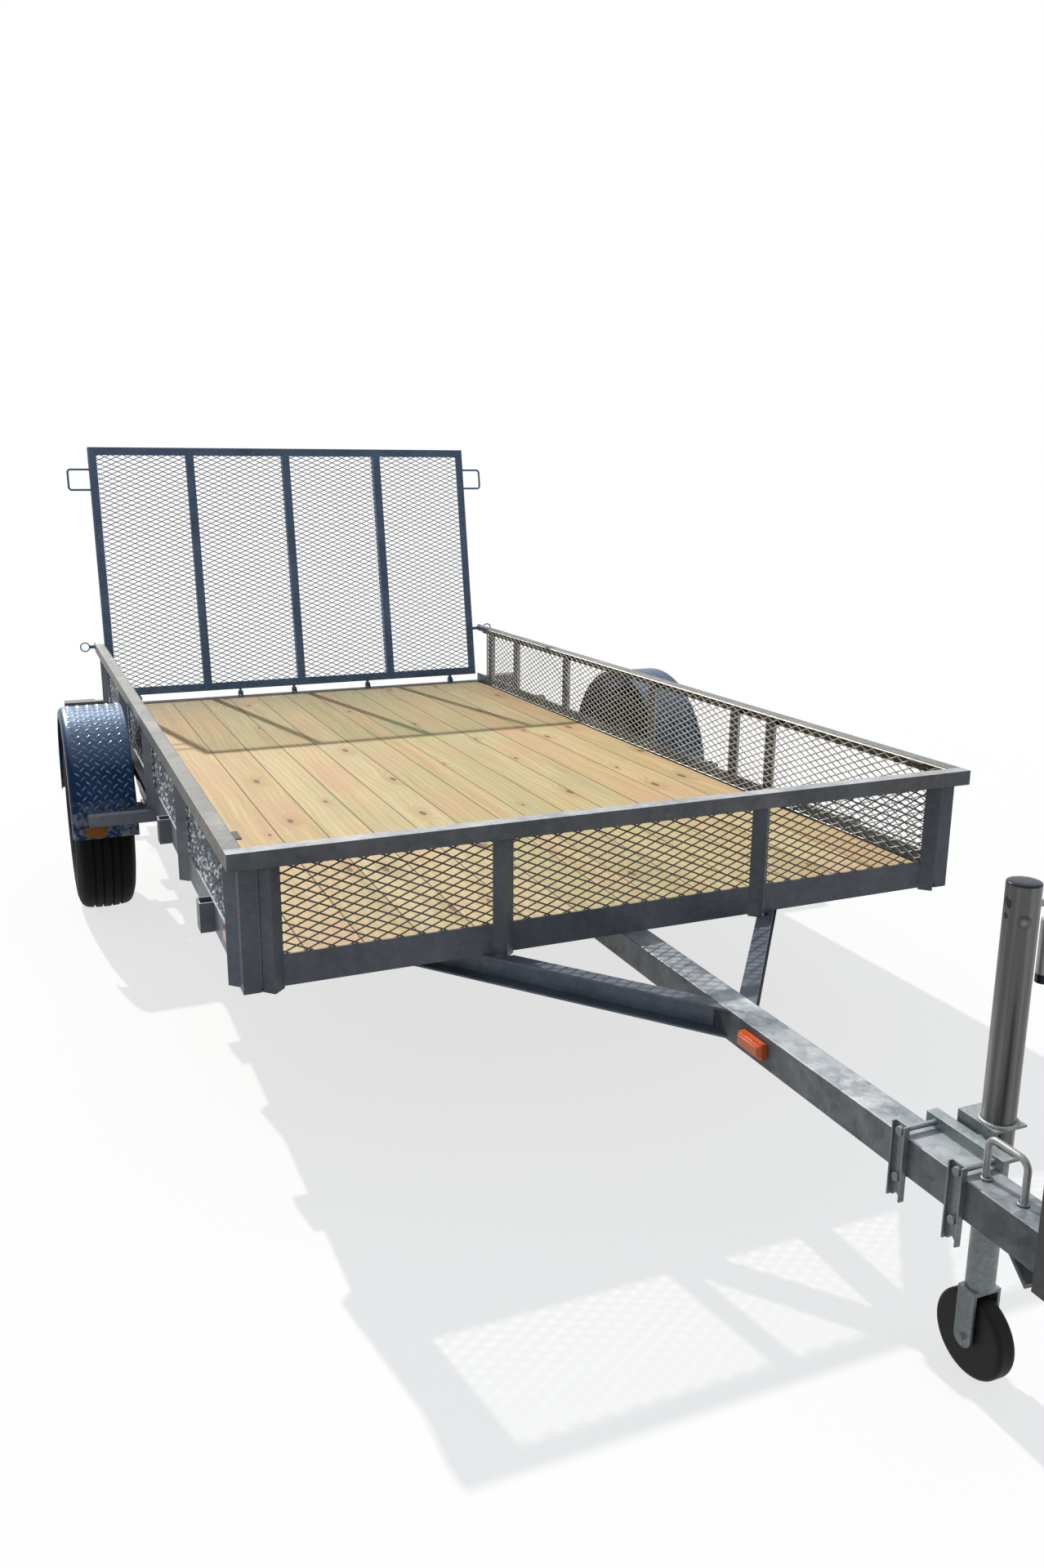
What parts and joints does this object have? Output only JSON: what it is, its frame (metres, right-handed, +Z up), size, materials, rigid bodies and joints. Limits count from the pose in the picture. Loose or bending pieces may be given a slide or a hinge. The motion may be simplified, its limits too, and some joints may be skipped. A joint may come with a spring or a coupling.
{
  "type": "utility trailer",
  "caption": "Single-axle utility trailer with a timber deck, low mesh walls, a tall ramp gate, round fenders, a braced tongue and a swivel jack.",
  "frame": {"origin": "on the ground, midway along and across the trailer", "axes": "+Z up, +Y towards the ramp gate, tongue along -Y"},
  "size_m": [2.522, 5.3788, 1.7295],
  "materials": {
    "galvanised_steel": "matt grey hot-dip galvanised",
    "expanded_steel": "galvanised expanded metal",
    "treated_pine": "pressure-treated pine",
    "tread_plate": "bright tread plate",
    "zinc_plate": "bright zinc",
    "black_paint": "black paint",
    "black_plastic": "black plastic",
    "tyre_rubber": "black rubber",
    "amber_lens": "amber lens",
    "red_lens": "red lens"
  },
  "bodies": {
    "chassis": {"deck_boards": "treated_pine", "front_rail": "galvanised_steel", "side_rails": "galvanised_steel", "rear_rail": "galvanised_steel", "cross_members": "galvanised_steel", "front_posts": "galvanised_steel", "side_posts": "galvanised_steel", "corner_angles": "galvanised_steel", "top_rail_front": "galvanised_steel", "top_rails_side": "galvanised_steel", "mesh_front": "expanded_steel", "mesh_left": "expanded_steel", "mesh_right": "expanded_steel", "wall_clips": "black_paint", "stake_pockets": "galvanised_steel", "tongue": "galvanised_steel", "brace_right": "galvanised_steel", "brace_left": "galvanised_steel", "tongue_lamps": "amber_lens", "lift_handle": "galvanised_steel", "tongue_gusset": "galvanised_steel", "coupler_channel": "black_paint", "coupler": "black_paint", "coupler_latch": "black_paint", "jack_mount": "zinc_plate", "jack_straps": "zinc_plate", "axle": "galvanised_steel", "leaf_springs": "black_paint", "spring_hangers": "galvanised_steel", "fender_right": "tread_plate", "fender_left": "tread_plate", "fender_brackets": "galvanised_steel", "fender_lamps": "amber_lens", "side_reflectors": "red_lens", "tail_lamp_arms": "galvanised_steel", "tail_lamps": "red_lens", "hinge_ears": "galvanised_steel", "gate_latches": "galvanised_steel"},
    "wheel_right": {"hub_right": "galvanised_steel", "rim_right": "galvanised_steel", "tyre_right": "tyre_rubber"},
    "wheel_left": {"hub_left": "galvanised_steel", "rim_left": "galvanised_steel", "tyre_left": "tyre_rubber"},
    "gate": {"gate_rails": "galvanised_steel", "gate_stiles": "galvanised_steel", "gate_bars": "galvanised_steel", "gate_mesh": "expanded_steel", "gate_tabs": "galvanised_steel", "gate_loops": "galvanised_steel"},
    "jack": {"jack_collar": "zinc_plate", "jack_tube": "zinc_plate", "jack_cap": "black_plastic", "jack_crank": "zinc_plate", "jack_grip_end": "black_plastic"},
    "jack_slide": {"jack_leg": "zinc_plate", "jack_fork": "zinc_plate"},
    "jack_roller": {"jack_wheel": "tyre_rubber"}
  },
  "joints": [
    {"name": "wheel_right_spin", "type": "hinge", "parent": "chassis", "child": "wheel_right", "pos_m": [1.1495, 0.929, 0.344], "axis": [1, 0, 0], "continuous": true},
    {"name": "wheel_left_spin", "type": "hinge", "parent": "chassis", "child": "wheel_left", "pos_m": [-1.1495, 0.929, 0.344], "axis": [1, 0, 0], "continuous": true},
    {"name": "gate_hinge", "type": "hinge", "parent": "chassis", "child": "gate", "pos_m": [0, 2.468, 0.51], "axis": [-1, 0, 0], "range_deg": [0, 103.5]},
    {"name": "jack_swivel", "type": "hinge", "parent": "chassis", "child": "jack", "pos_m": [0.1, -2.27, 0.462], "axis": [1, 0, 0], "range_deg": [0, 90]},
    {"name": "jack_lift", "type": "slide", "parent": "jack", "child": "jack_slide", "axis": [0, 0, 1], "range_m": [0, 0.254]},
    {"name": "jack_wheel_spin", "type": "hinge", "parent": "jack_slide", "child": "jack_roller", "pos_m": [0.1, -2.27, 0.08], "axis": [1, 0, 0], "continuous": true}
  ]
}
